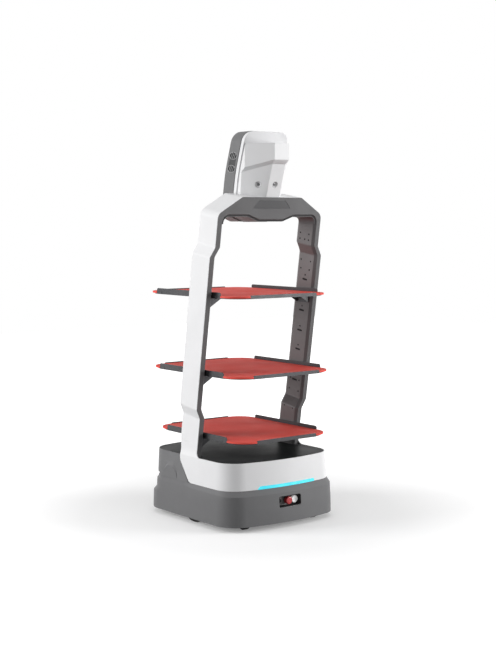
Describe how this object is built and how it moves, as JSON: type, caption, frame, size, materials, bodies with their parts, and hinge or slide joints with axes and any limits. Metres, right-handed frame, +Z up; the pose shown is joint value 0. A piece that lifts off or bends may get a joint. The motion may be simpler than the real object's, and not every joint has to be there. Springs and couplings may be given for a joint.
{
  "type": "autonomous mobile robot",
  "caption": "Wheeled indoor delivery robot: low rounded base, tall forward-leaning arch holding shelf trays, faceted head with a display behind the beam",
  "frame": {"origin": "On the floor, under the middle of the overall outline seen from above", "axes": "+Z up, -Y towards the front of the robot, where it drives to and where the arch leans, +X towards the viewer's right when facing the front"},
  "size_m": [0.4898, 0.563, 1.344],
  "materials": {
    "grey_shell": "fine texture",
    "white_shell": "satin gloss",
    "grey_bezel": "matte",
    "grey_panel": "satin",
    "grey_head": "fine texture",
    "black_deck": "gloss",
    "red_mat": "matte, fine ribs",
    "tray_metal": "satin powder coat",
    "screw_steel": "zinc plated",
    "frame_steel": "powder coat",
    "bare_aluminium": "extruded",
    "spring_steel": "bare",
    "hub_plastic": "matte",
    "drive_tyre": "moulded",
    "caster_rubber": "matte",
    "dark_plastic": "matte",
    "red_plastic": "gloss",
    "white_button": "gloss",
    "switch_metal": "satin",
    "screen_glass": "gloss",
    "lens_glass": "gloss",
    "light": "diffuse light guide"
  },
  "bodies": {
    "chassis": {"base_frame": "frame_steel", "deck_support": "frame_steel", "lower_shell": "grey_shell", "front_band": "white_shell", "light_strip": "light", "rear_cover": "grey_shell", "top_deck": "black_deck", "control_panel": "grey_shell", "e_stop_collar": "dark_plastic", "battery_pack": "dark_plastic", "main_controller": "bare_aluminium", "inner_frame": "bare_aluminium", "leg_shell_left": "white_shell", "leg_shell_right": "white_shell", "beam_cover": "white_shell", "front_bezel": "grey_bezel", "nameplate": "grey_bezel", "rear_bezel": "grey_bezel", "leg_panel_left": "grey_panel", "leg_panel_right": "grey_panel", "head_back_shell": "grey_head", "display_glass": "screen_glass", "side_trims": "dark_plastic", "side_grilles": "dark_plastic", "head_front_shell": "white_shell", "camera_windows": "lens_glass", "visor": "white_shell", "tray_screws": "screw_steel", "caster_mounts": "frame_steel", "tray_top_mat": "red_mat", "tray_top_pan": "tray_metal", "tray_top_lips": "tray_metal", "tray_top_brackets": "tray_metal", "tray_middle_mat": "red_mat", "tray_middle_pan": "tray_metal", "tray_middle_lips": "tray_metal", "tray_middle_brackets": "tray_metal", "tray_bottom_mat": "red_mat", "tray_bottom_pan": "tray_metal", "tray_bottom_lips": "tray_metal", "tray_bottom_brackets": "tray_metal", "spring_left": "spring_steel", "spring_right": "spring_steel"},
    "e_stop": {"e_stop_button": "red_plastic"},
    "power_key": {"power_button": "white_button"},
    "key_rotor": {"key_switch": "switch_metal"},
    "arm_left": {"drive_arm_left": "frame_steel"},
    "drive_wheel_left": {"wheel_left": "hub_plastic", "tyre_left": "drive_tyre"},
    "arm_right": {"drive_arm_right": "frame_steel"},
    "drive_wheel_right": {"wheel_right": "hub_plastic", "tyre_right": "drive_tyre"},
    "fork_front_left": {"caster_fork_front_left": "frame_steel"},
    "roller_front_left": {"caster_wheel_front_left": "caster_rubber"},
    "fork_front_right": {"caster_fork_front_right": "frame_steel"},
    "roller_front_right": {"caster_wheel_front_right": "caster_rubber"},
    "fork_rear_left": {"caster_fork_rear_left": "frame_steel"},
    "roller_rear_left": {"caster_wheel_rear_left": "caster_rubber"},
    "fork_rear_right": {"caster_fork_rear_right": "frame_steel"},
    "roller_rear_right": {"caster_wheel_rear_right": "caster_rubber"}
  },
  "joints": [
    {"name": "e_stop_press", "type": "slide", "parent": "chassis", "child": "e_stop", "axis": [0, 1, 0], "range_m": [0, 0.005]},
    {"name": "power_press", "type": "slide", "parent": "chassis", "child": "power_key", "axis": [0, 1, 0], "range_m": [0, 0.003], "stiffness_N_per_m": 300},
    {"name": "key_turn", "type": "hinge", "parent": "chassis", "child": "key_rotor", "pos_m": [-0.0305, -0.2593, 0.0893], "axis": [0, 1, 0], "range_deg": [0, 90]},
    {"name": "arm_swing_left", "type": "hinge", "parent": "chassis", "child": "arm_left", "pos_m": [-0.16, 0.0595, 0.1], "axis": [1, 0, 0], "range_deg": [-3, 3], "stiffness_Nm_per_rad": 150, "deforming": ["spring_left"]},
    {"name": "wheel_spin_left", "type": "hinge", "parent": "arm_left", "child": "drive_wheel_left", "pos_m": [-0.198, -0.0185, 0.08], "axis": [1, 0, 0], "continuous": true},
    {"name": "arm_swing_right", "type": "hinge", "parent": "chassis", "child": "arm_right", "pos_m": [0.16, 0.0595, 0.1], "axis": [1, 0, 0], "range_deg": [-3, 3], "stiffness_Nm_per_rad": 150, "deforming": ["spring_right"]},
    {"name": "wheel_spin_right", "type": "hinge", "parent": "arm_right", "child": "drive_wheel_right", "pos_m": [0.198, -0.0185, 0.08], "axis": [1, 0, 0], "continuous": true},
    {"name": "swivel_front_left", "type": "hinge", "parent": "chassis", "child": "fork_front_left", "pos_m": [-0.15, -0.1955, 0.0645], "axis": [0, 0, 1], "continuous": true},
    {"name": "roll_front_left", "type": "hinge", "parent": "fork_front_left", "child": "roller_front_left", "pos_m": [-0.15, -0.2155, 0.025], "axis": [1, 0, 0], "continuous": true},
    {"name": "swivel_front_right", "type": "hinge", "parent": "chassis", "child": "fork_front_right", "pos_m": [0.15, -0.1955, 0.0645], "axis": [0, 0, 1], "continuous": true},
    {"name": "roll_front_right", "type": "hinge", "parent": "fork_front_right", "child": "roller_front_right", "pos_m": [0.15, -0.2155, 0.025], "axis": [1, 0, 0], "continuous": true},
    {"name": "swivel_rear_left", "type": "hinge", "parent": "chassis", "child": "fork_rear_left", "pos_m": [-0.15, 0.1745, 0.0645], "axis": [0, 0, 1], "continuous": true},
    {"name": "roll_rear_left", "type": "hinge", "parent": "fork_rear_left", "child": "roller_rear_left", "pos_m": [-0.15, 0.1545, 0.025], "axis": [1, 0, 0], "continuous": true},
    {"name": "swivel_rear_right", "type": "hinge", "parent": "chassis", "child": "fork_rear_right", "pos_m": [0.15, 0.1745, 0.0645], "axis": [0, 0, 1], "continuous": true},
    {"name": "roll_rear_right", "type": "hinge", "parent": "fork_rear_right", "child": "roller_rear_right", "pos_m": [0.15, 0.1545, 0.025], "axis": [1, 0, 0], "continuous": true}
  ]
}
